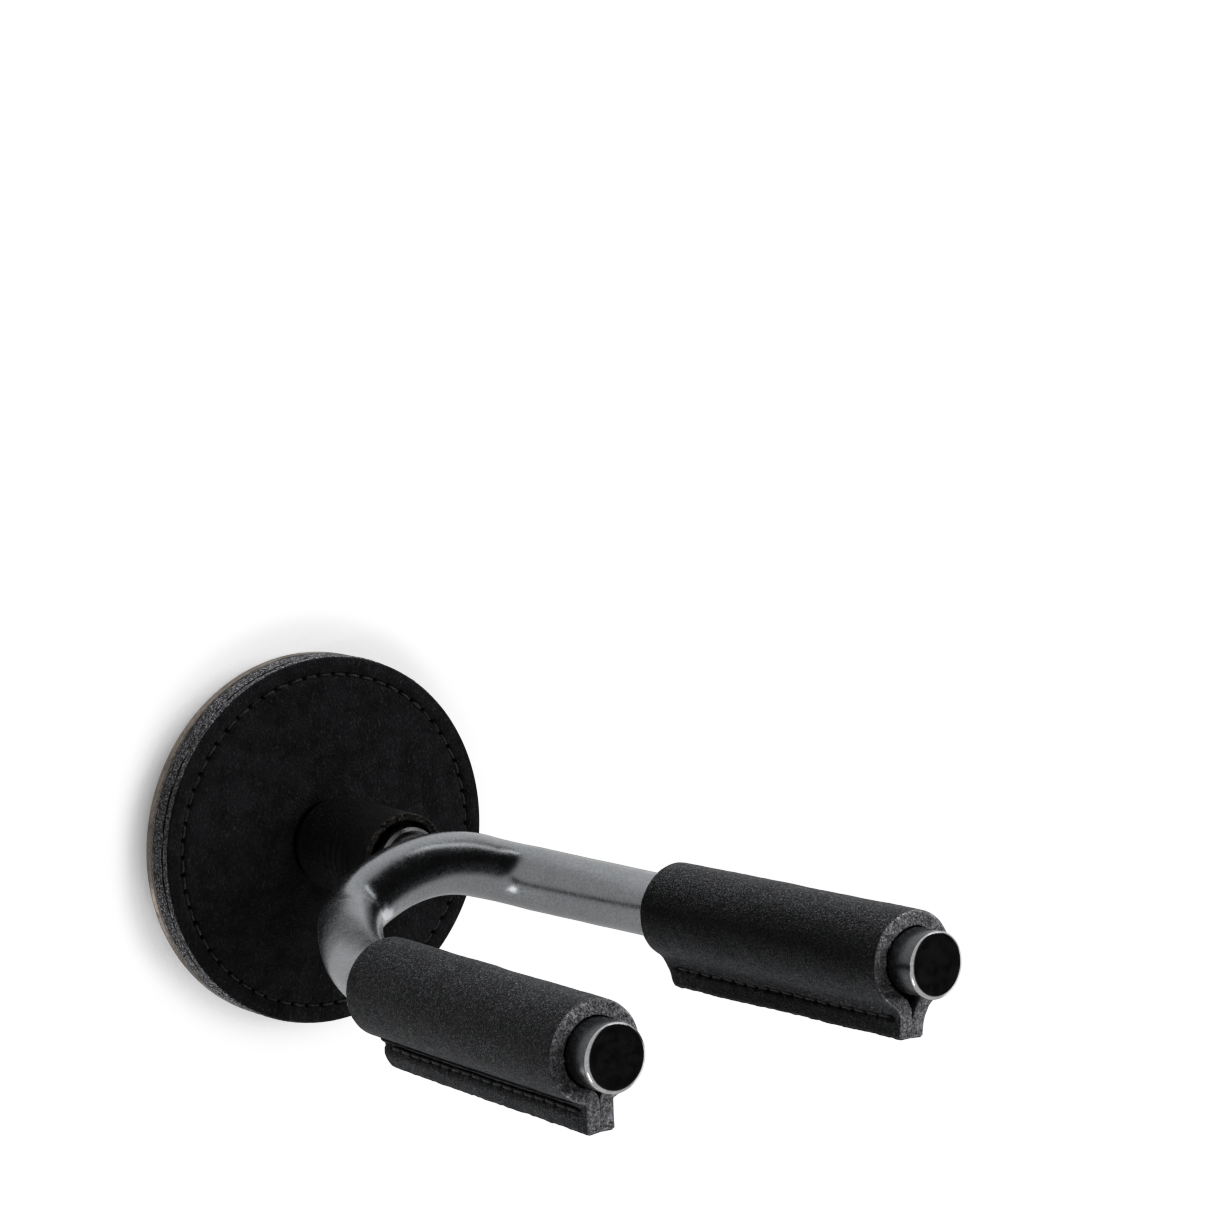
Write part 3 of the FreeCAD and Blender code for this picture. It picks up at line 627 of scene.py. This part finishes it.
def half_path(side_name):
    """Centre line of one arm from the crown's middle to its end, in the yoke's frame, a point about each mm.

    It also gives how far the bar is drawn thin at each point, from 0 to 1, and the arm's end and heading.
    """
    side = 1 if side_name == "right" else -1
    crown, bend, toe = (math.radians(angle) for angle in (CROWN_DEG, BEND_DEG, TOE_DEG))
    drop = np.array([math.cos(crown) * side, 0, -math.sin(crown)])
    out = np.array([0.0, -1.0, 0.0])
    heading, across, ahead = 0.0, 0.0, 0.0

    def on_crown(a):
        return np.array([side * CROWN_R * math.sin(a), -YOKE_OUT, -CROWN_R * (1 - math.cos(a))])

    def on_arc(radius, turn):
        return (across + radius * (math.sin(heading + turn) - math.sin(heading)),
                ahead + radius * (math.cos(heading) - math.cos(heading + turn)))

    points = [on_crown(a) for a in np.linspace(0, crown, 14)[:-1]]
    thin = [0.0] * len(points)
    start = on_crown(crown)
    for radius, angle, count in ((BEND_R, bend, 16), (SWEEP_R, math.pi / 2 - toe - bend, 38)):
        for a in np.arange(count) / count * angle:
            x, y = on_arc(radius, a)
            points.append(start + drop * x + out * y)
            thin.append(math.sin(math.pi * min(1, a / angle)) if radius == BEND_R else 0.0)
        across, ahead = on_arc(radius, angle)
        heading += angle
    direction = drop * math.cos(heading) + out * math.sin(heading)
    begin = start + drop * across + out * ahead
    straight = ARM_LENGTHS[side_name] - BAR_END_R
    for t in np.linspace(0, straight, round(straight) + 1):
        points.append(begin + direction * t)
        thin.append(0.0)
    return np.asarray(points), np.asarray(thin), begin + direction * ARM_LENGTHS[side_name], direction


def bar_end(base, heading):
    """Rings that round off an end of the bar and close it with a turned face, and each one's material."""
    centre = base.mean(0)
    arm = base - centre
    rings, kinds = [], []
    for a in np.radians(np.linspace(0, 90, 9)[1:]):
        shrink = (BAR_R - BAR_END_R + BAR_END_R * math.cos(a)) / BAR_R
        rings.append(centre + arm * shrink + heading * BAR_END_R * math.sin(a))
        # painted highlight on the rounded edge; its first ring takes the painted shade of the bar beside it
        kinds.append(BRIGHT_RIM if a > 0.3 else DARK)
    face_r = (BAR_R - BAR_END_R) / BAR_R
    for f in np.linspace(1, 0, 22)[1:]:
        dish = -0.05 * (1 - f) ** 2 + 0.008 * math.sin(f * 60)
        rings.append(centre + arm * face_r * max(f, 0.004) + heading * (BAR_END_R + dish))
        kinds.append(TURNED)
    return rings, kinds


def make_yoke_bar():
    """The bar as rings of points along its centre line. Gives each arm's end and heading."""
    right, right_thin, *right_end = half_path("right")
    left, left_thin, *left_end = half_path("left")
    path = np.concatenate([left[::-1], right[1:]])
    thin = np.concatenate([left_thin[::-1], right_thin[1:]])
    tangent = np.gradient(path, axis=0)
    tangent /= np.linalg.norm(tangent, axis=1, keepdims=True)
    sides = 96
    turns = np.arange(sides) / sides * TAU
    normal = np.array([0.0, 0.0, 1.0])
    rings = []
    for p, t, w in zip(path, tangent, thin):
        normal = normal - t * normal.dot(t)
        normal /= np.linalg.norm(normal)
        other = np.cross(t, normal)
        radius = BAR_R - 0.14 * w
        rings.append(p + radius * (np.cos(turns)[:, None] * normal + np.sin(turns)[:, None] * other))
    rings = np.asarray(rings)
    uneven = 0.035 * noise(rings, (5, 5, 5), seed=41, octaves=2)
    rings += normals_of(rings) * uneven[..., None]
    from_end = np.minimum(np.arange(len(path) - 1), np.arange(len(path) - 1)[::-1])
    # painted shade: the bar takes the darker steel from inside the grip's front to its end, for the shade
    # there
    kinds = np.where(from_end < GRIP_SETBACK - BAR_END_R + 1.5, DARK, SATIN).tolist()
    first, first_kinds = bar_end(rings[0], left_end[1])
    last, last_kinds = bar_end(rings[-1], right_end[1])
    grid = np.concatenate([first[::-1], rings, last])
    faces = ring_faces(len(grid), sides, closed=False)
    faces.append(list(range(sides)))
    faces.append([(len(grid) - 1) * sides + k for k in range(sides)][::-1])
    indices = np.append(np.repeat(first_kinds[::-1] + kinds + last_kinds, sides), [TURNED, TURNED])
    obj = add_object("yoke_forged_bar", grid.reshape(-1, 3), faces, BAR_STEELS, indices, yoke_frame())
    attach(obj, "yoke")
    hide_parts("yoke_bar")
    return {"left": left_end, "right": right_end}


# ---------------------------------------------------------------- grips

GRIP_LEATHERS = [GRIP_LEATHER, EDGE_LEATHER, SUEDE]
GRAIN, CUT, FLESH = range(3)


def grip_frame(arm_end, heading, flap_turn_deg):
    """Own frame of a grip: origin at its front end on the arm's axis, Y back along the arm, Z up."""
    origin = arm_end - heading * GRIP_SETBACK
    back = Vector(-heading)
    aligned = Vector((0, 1, 0)).rotation_difference(back).to_matrix().to_4x4()
    turned = Matrix.Rotation(math.radians(flap_turn_deg), 4, "Y")
    return yoke_frame() @ Matrix.Translation(Vector(origin) * MM) @ aligned @ turned


def strip_line(blend):
    """Middle line of the leather's section: up one ply of the flap, round the bar and down the other ply."""
    step = 0.34
    middle_r = GRIP_R - GRIP_PLY / 2
    x_ply = GRIP_PLY / 2 + PLY_SLIT
    centre_x = x_ply + blend
    centre_z = -math.sqrt((middle_r + blend) ** 2 - centre_x**2)
    touch = math.atan2(centre_z, centre_x)
    points = [*run((x_ply, -FLAP_DROP), (x_ply, centre_z), step)]
    sweep = math.pi + touch
    count = max(4, round((math.pi - sweep) * blend / step))
    for a in np.linspace(math.pi, sweep, count + 1)[:-1]:
        points.append(np.array([centre_x + blend * math.cos(a), centre_z + blend * math.sin(a)]))
    count = round((math.pi / 2 - touch) * middle_r / step)
    for a in np.linspace(touch, math.pi / 2, count + 1):
        points.append(middle_r * np.array([math.cos(a), math.sin(a)]))
    right = np.asarray(points)
    left = right[::-1][1:] * np.array([-1, 1])
    return np.concatenate([right, left])


def section_loop():
    """Closed loop of (thickness, length) round the strip's own section: outside, front, inside and rear."""
    half, length, edge, tight = GRIP_PLY / 2, GRIP_LENGTH, GRIP_EDGE, 0.12
    return np.asarray([
        *run((half, length - edge), (half, edge), 0.42),
        *corner((half - edge, edge), edge, 0, -90, 5),
        *run((half - edge, 0), (tight - half, 0), 0.2),
        *corner((tight - half, tight), tight, -90, -180, 2),
        *run((-half, tight), (-half, length - tight), 1.6),
        *corner((tight - half, length - tight), tight, 180, 90, 2),
        *run((tight - half, length), (half - edge, length), 0.2),
        *corner((half - edge, length - edge), edge, 90, 0, 5),
    ])


def flap_wander(points, seed):
    """How far the seam along a flap strays upwards."""
    return 0.12 * noise(points, (99, 6, 99), seed=seed + 1)


def slanted(length, height):
    """Lengths with the flap's ends cut a little aslant and the rear end's lower corner rounded."""
    corner_r, rear_slant, front_slant = 1.8, 1.9, 0.5
    flap = smooth(-height, 8.6, FLAP_DROP)
    rear = smooth(length, GRIP_LENGTH * 0.5, GRIP_LENGTH)
    into_hem = np.clip(-height - FLAP_DROP + corner_r, 0, corner_r)
    hem_curve = corner_r - np.sqrt(corner_r**2 - into_hem**2)
    return (length - rear_slant * flap * rear - hem_curve * smooth(length, GRIP_LENGTH - 4, GRIP_LENGTH)
            + front_slant * flap * (1 - smooth(length, 0, GRIP_LENGTH * 0.3)))


def seam_relief(grid, height, length, is_left, crease, seed):
    """The outside near the flap's seam: groove, needle holes, and the bulge and flare of a deep crease."""
    at = np.clip((length - FLAP_MARGIN) / (GRIP_LENGTH - 2 * FLAP_MARGIN), 0, 1) * FLAP_STITCHES
    from_hole = (at - np.round(at)) * FLAP_PITCH
    above = height - (-FLAP_SEAM + flap_wander(grid, seed))
    inside_ends = smooth(length, 1.6, 3.8) * smooth(GRIP_LENGTH - length, 2.0, 4.4)
    uneven = 1 + 0.5 * noise(grid, (99, 1.3, 99), seed=seed + 9, octaves=2)
    relief = -0.3 * bump_at(above, 0.55) * inside_ends * uneven
    relief -= 0.75 * bump_at(np.hypot(above, from_hole), 0.5) * inside_ends * uneven
    not_ends = smooth(length, 1.5, 7.0) * (1 - 0.8 * smooth(length, GRIP_LENGTH - 2.2, GRIP_LENGTH)) * is_left
    deep = crease * bump_at(above - 0.3, 0.4) * smooth(length, 2.5, 6.0) * is_left
    bulge = crease * 0.75 * bump_at(above - 1.9, 1.15) * not_ends
    bow = 0.4 * smooth(-above, 0.2, 1.5) - 0.75 * smooth(-above, 1.0, 4.4)
    flare = crease * bow * not_ends
    relief += (-deep + bulge + flare)
    return relief * smooth(-height, 6.0, 9.0)


def make_grip(side_name, frame_matrix):
    """A thick strip of leather round the arm. Each row of points goes once round the strip's own section."""
    seed = GRIP_SEED[side_name]
    line = strip_line(FLAP_BLEND[side_name])
    along = np.gradient(line, axis=0)
    along /= np.linalg.norm(along, axis=1, keepdims=True)
    outward = np.stack([along[:, 1], -along[:, 0]], -1)
    travelled = np.concatenate([[0], np.cumsum(np.linalg.norm(np.diff(line, axis=0), axis=1))])
    from_end = np.minimum(travelled, travelled[-1] - travelled)
    loop = section_loop()
    into_edge = np.clip(GRIP_EDGE - from_end, 0, GRIP_EDGE)
    inset = GRIP_EDGE - np.sqrt(np.clip(GRIP_EDGE**2 - into_edge**2, 0, None))
    half = GRIP_PLY / 2
    thick = np.clip(loop[None, :, 0], -(half - 0.15 * inset[:, None]), half - inset[:, None])
    length = np.clip(loop[None, :, 1], inset[:, None], GRIP_LENGTH - inset[:, None])
    height = line[:, None, 1]
    length = slanted(length, height)
    grid = np.stack([line[:, None, 0] + outward[:, None, 0] * thick, length,
                     height + outward[:, None, 1] * thick], -1)

    def push_out(by):
        grid[..., 0] += outward[:, None, 0] * by
        grid[..., 2] += outward[:, None, 1] * by

    relief = seam_relief(grid, height, length, line[:, None, 0] < 0, FLAP_CREASE[side_name], seed)
    relief += (0.13 * noise(grid, (7, 11, 7), seed=seed + 2, octaves=2)
               + 0.03 * noise(grid, (1.6, 1.6, 1.6), seed=seed + 3, octaves=2))
    outside = smooth(thick, half - 0.6, half - 0.1)
    push_out(outside * relief)
    cut_front = smooth(1.0 - loop[None, :, 1], 0.45, 1.0)
    cut_rear = smooth(loop[None, :, 1] - GRIP_LENGTH + 1.0, 0.45, 1.0)
    ragged = (0.16 * noise(grid, (0.8, 50, 0.8), seed=seed + 4, octaves=2)
              + 0.25 * noise(grid, (5, 50, 5), seed=seed + 5))
    grid[..., 1] += cut_front * (0.25 + ragged) - cut_rear * (0.25 + ragged)
    low = smooth(-grid[..., 2], FLAP_DROP - 1.2, FLAP_DROP)
    grid[..., 2] += low * (0.05 + 0.09 * noise(grid, (1.2, 1.2, 1.2), seed=seed + 6, octaves=2)
                           + 0.12 * noise(grid, (50, 9, 50), seed=seed + 7))
    inside = smooth(-thick, half - 0.5, half)
    in_bore = smooth(height, -GRIP_BORE, -GRIP_BORE + 1.5)
    push_out(inside * in_bore * (0.05 * noise(grid, (1.0, 1.0, 1.0), seed=seed + 8, octaves=2) - 0.02))

    rows, columns = grid.shape[:2]
    ends = (loop[:, 1] < GRIP_EDGE * 0.75) | (loop[:, 1] > GRIP_LENGTH - GRIP_EDGE * 0.75)
    kinds = np.tile(np.where(ends, CUT, np.where(loop[:, 0] < 0, FLESH, GRAIN)), (rows - 1, 1))
    kinds[from_end[:-1] < GRIP_EDGE * 0.6] = CUT
    caps = []
    for row, flip in ((0, True), (rows - 1, False)):
        caps += cap_faces([row * columns + k for k in range(columns)], loop, flip)
    obj = add_object(side_name + "_grip_leather", grid.reshape(-1, 3),
                     ring_faces(rows, columns, closed=False) + caps, GRIP_LEATHERS,
                     np.append(kinds.reshape(-1), [CUT] * len(caps)), frame_matrix)
    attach(obj, "yoke")
    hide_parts(side_name + "_grip")


def cap_faces(ring, loop, flip):
    """Close a long thin ring with triangles between its outer and inner sides, so that no n-gon is left."""
    order = np.argsort(loop[:, 1])
    low, high = order[0], order[-1]
    faces = []
    count = len(ring)
    a = list(range(low, low + (high - low) % count + 1))
    b = list(range(low, low - (low - high) % count - 1, -1))
    i = j = 0
    while i < len(a) - 1 or j < len(b) - 1:
        next_a = loop[a[min(i + 1, len(a) - 1)] % count, 1]
        next_b = loop[b[min(j + 1, len(b) - 1)] % count, 1]
        if j == len(b) - 1 or (i < len(a) - 1 and next_a <= next_b):
            face = [ring[a[i] % count], ring[a[i + 1] % count], ring[b[j] % count]]
            i += 1
        else:
            face = [ring[a[i] % count], ring[b[j + 1] % count], ring[b[j] % count]]
            j += 1
        if len(set(face)) == 3:
            faces.append(face[::-1] if flip else face)
    return faces


def make_grip_thread(side_name, frame_matrix):
    tubes = []
    seed = GRIP_SEED[side_name]
    buried, rise = 0.62, 0.5  # how deep the stitches' ends lie, and how far their middles rise
    rng = np.random.default_rng(seed)
    for side in (-1, 1):
        for k in range(FLAP_STITCHES):
            t = np.linspace(0.05, 0.95, 12)
            y = FLAP_MARGIN + (k + t) * FLAP_PITCH
            spots = np.stack([np.zeros_like(y), y, np.zeros_like(y)], -1)
            z = -FLAP_SEAM + flap_wander(spots, seed) + rng.normal(0, 0.05) * (t - 0.5) * 2
            out = (rise + rng.normal(0, 0.03)) * np.sin(np.pi * t) ** 0.5
            x = side * (GRIP_PLY + PLY_SLIT - buried + out)
            tubes.append(stitch_tube(np.stack([x, y, z], -1), GRIP_THREAD_R))
    add_thread(side_name + "_grip_stitches", tubes, "yoke", side_name + "_grip_thread", frame_matrix)


# ---------------------------------------------------------------- the CAD pieces that stay

CAD_FINISH = {
    "wall_plate": PLATE_STEEL, "stem_tube": TUBE_STEEL, "front_bush": NYLON, "rear_bush": NYLON,
    "pivot_shaft": SHAFT_STEEL, "retaining_washer": FIXING_STEEL, "retaining_screw": FIXING_STEEL,
}


def finish_cad_pieces():
    for node, material in CAD_FINISH.items():
        for slot in NODES[node].material_slots:
            slot.material = material


# ---------------------------------------------------------------- light, backdrop and camera

FILL = 0.11  # brightness of the world's own light
ROOM, ROOM_DARK = 0.48, 0.006  # brightness of the room that is mirrored, and of its dark patch
DARK_PATCH, DARK_SPREAD = (0.53, -0.73, 0.43), (0.42, 0.74)  # direction, and cosines of its rim and its core
WALL_WASH, WASH_SPREAD = (0.3, 0.78, 0.55), (0.3, 0.95)  # the same for the room's brighter side
WASH = 0.3  # how much brighter that side is
WALL_FADE = (DISC_R - 9.5, DISC_R + 9)  # radii in mm between which the wall fades out
FLOOR_SIZE, FLOOR_Z = 6.0, -0.3
WALL_SIZE, WALL_BEHIND = 3.0, 0.0004
LIT_POINT = (0, -0.09, -0.015)
LAMPS = (  # name, place, width and height, power in W; these are not mirrored
    ("left", (-1.2, -0.1, -0.133), (0.8, 0.05), 13),
    ("top", (0.46, -0.14, 0.92), (0.3, 0.8), 46),
    ("low", (0.1, -0.12, -0.9), (0.25, 0.8), 34),
    ("front_right", (0.85, -1.05, 0.4), (0.9, 0.9), 34),
    ("behind", (0.3, 1.0, 0.4), (0.8, 0.8), 18),
)
PANELS = (  # the same for weak lights that are mirrored, as highlights
    ("strip", (0.679, -0.247, 0.958), (0.2, 0.9), 0.9),
    ("right_panel", (1.12, 0.04, -0.41), (0.9, 0.7), 1.9),
    ("low_panel", (-0.6, -0.45, -0.75), (0.35, 0.4), 1.1),
    ("edge_panel", (-0.42, 0.88, -0.52), (0.3, 0.3), 0.6),
)
LENS, SENSOR = 121.94, 36.0
CAMERA_AIM, CAMERA_DISTANCE = (0.07717, 0, 0.04177), 0.890
CAMERA_YAW_DEG, CAMERA_PITCH_DEG = 36.32, 6.98


def add_plane(name, size, location, rotation=(0, 0, 0)):
    half = size / 2
    verts = [(-half, -half, 0), (half, -half, 0), (half, half, 0), (-half, half, 0)]
    mesh = bpy.data.meshes.new(name)
    mesh.from_pydata(verts, [], [(0, 1, 2, 3)])
    obj = bpy.data.objects.new(name, mesh)
    obj.location, obj.rotation_euler = location, rotation
    bpy.context.scene.collection.objects.link(obj)
    return obj


def catch_shadows_only(obj):
    """The plane shows the soft shadow on it, and neither blocks nor reflects light."""
    obj.is_shadow_catcher = True
    obj.visible_shadow = obj.visible_diffuse = obj.visible_glossy = obj.visible_transmission = False


def add_area_light(name, location, size, power, mirrored):
    data = bpy.data.lights.new(name, "AREA")
    data.shape = "RECTANGLE"
    data.size, data.size_y = size
    data.energy = power
    obj = bpy.data.objects.new(name, data)
    obj.location = location
    obj.rotation_euler = (Vector(LIT_POINT) - Vector(location)).to_track_quat("-Z", "Y").to_euler()
    obj.visible_glossy = mirrored
    bpy.context.scene.collection.objects.link(obj)


def make_world():
    """White to the eye. Mirrored, it is a room, dark in front on the right and brighter towards the wall."""
    world = bpy.data.worlds.new("studio")
    bpy.context.scene.world = world
    world.use_nodes = True
    nodes, links = world.node_tree.nodes, world.node_tree.links
    nodes.clear()
    out = nodes.new("ShaderNodeOutputWorld")
    shown, fill, room = (nodes.new("ShaderNodeBackground") for _ in range(3))
    shown.inputs["Color"].default_value = (1, 1, 1, 1)
    fill.inputs["Color"].default_value = (FILL, FILL, FILL, 1)
    where = nodes.new("ShaderNodeTexCoord")

    def toward(direction, spread, away, there):
        """Brightness that goes from one value to another with the angle to a direction."""
        cosine = nodes.new("ShaderNodeVectorMath")
        cosine.operation = "DOT_PRODUCT"
        cosine.inputs[1].default_value = tuple(Vector(direction).normalized())
        links.new(where.outputs["Generated"], cosine.inputs[0])
        ramp = nodes.new("ShaderNodeMapRange")
        ramp.interpolation_type = "SMOOTHSTEP"
        for name, number in zip(("From Min", "From Max", "To Min", "To Max"), (*spread, away, there)):
            ramp.inputs[name].default_value = number
        links.new(cosine.outputs["Value"], ramp.inputs["Value"])
        return ramp.outputs["Result"]

    total = nodes.new("ShaderNodeMath")
    links.new(toward(DARK_PATCH, DARK_SPREAD, ROOM, ROOM_DARK), total.inputs[0])
    links.new(toward(WALL_WASH, WASH_SPREAD, 0.0, WASH), total.inputs[1])
    links.new(total.outputs[0], room.inputs["Color"])
    path = nodes.new("ShaderNodeLightPath")
    lit, seen = nodes.new("ShaderNodeMixShader"), nodes.new("ShaderNodeMixShader")
    links.new(path.outputs["Is Glossy Ray"], lit.inputs["Fac"])
    links.new(fill.outputs[0], lit.inputs[1])
    links.new(room.outputs[0], lit.inputs[2])
    links.new(path.outputs["Is Camera Ray"], seen.inputs["Fac"])
    links.new(lit.outputs[0], seen.inputs[1])
    links.new(shown.outputs[0], seen.inputs[2])
    links.new(seen.outputs[0], out.inputs["Surface"])


def pale_paint(name):
    """Plain matte paint."""
    pale = Shader(name, 0.8)
    pale.finish(pale.mix(pale.noise(40.0, detail=3.0), (0.86, 0.86, 0.86), (0.9, 0.9, 0.9)))
    return pale


def fade_wall(pale):
    """The wall is clear from behind, and fades out a little way beyond the wall plate."""
    nodes, links = pale.tree.nodes, pale.tree.links
    side, clear, mix = (nodes.new(kind) for kind in (
        "ShaderNodeNewGeometry", "ShaderNodeBsdfTransparent", "ShaderNodeMixShader"))
    x, y, _ = pale.split()
    faded = pale.span(pale.hypot(x, y), *(radius * MM for radius in WALL_FADE))
    links.new(pale.math("MAXIMUM", faded, side.outputs["Backfacing"]), mix.inputs["Fac"])
    links.new(pale.shader.outputs[0], mix.inputs[1])
    links.new(clear.outputs[0], mix.inputs[2])
    links.new(mix.outputs[0], nodes["Material Output"].inputs["Surface"])


def make_stage():
    floor = add_plane("floor", FLOOR_SIZE, (0, 0, FLOOR_Z))
    wall = add_plane("wall", WALL_SIZE, (0, WALL_BEHIND, 0), (math.radians(90), 0, 0))
    floor_paint, wall_paint = pale_paint("pale_floor"), pale_paint("pale_wall")
    fade_wall(wall_paint)
    for plane, paint in ((floor, floor_paint), (wall, wall_paint)):
        plane.data.materials.append(paint.material)
        catch_shadows_only(plane)
    make_world()
    for lamp in LAMPS:
        add_area_light(*lamp, mirrored=False)
    for panel in PANELS:
        add_area_light(*panel, mirrored=True)


def make_camera():
    """A long lens, 36 degrees to the left of straight on and 7 degrees above it."""
    data = bpy.data.cameras.new("camera")
    data.lens, data.sensor_width = LENS, SENSOR
    data.clip_start, data.clip_end = 0.05, 20.0
    camera = bpy.data.objects.new("camera", data)
    yaw, pitch = math.radians(CAMERA_YAW_DEG), math.radians(CAMERA_PITCH_DEG)
    ahead = Vector((math.sin(yaw) * math.cos(pitch), math.cos(yaw) * math.cos(pitch), -math.sin(pitch)))
    camera.location = Vector(CAMERA_AIM) - ahead * CAMERA_DISTANCE
    camera.rotation_euler = ahead.to_track_quat("-Z", "Y").to_euler()
    bpy.context.scene.collection.objects.link(camera)
    bpy.context.scene.camera = camera


def main():
    bpy.context.scene.view_settings.view_transform = "Standard"
    make_camera()
    make_front_ply()
    make_rear_ply()
    make_disc_thread()
    make_stem_wrap()
    arm_ends = make_yoke_bar()
    frames = {side: grip_frame(*arm_ends[side], FLAP_TURN_DEG[side]) for side in ("left", "right")}
    for side, matrix in frames.items():
        make_grip(side, matrix)
    for side, matrix in frames.items():
        make_grip_thread(side, matrix)
    finish_cad_pieces()
    make_stage()


main()
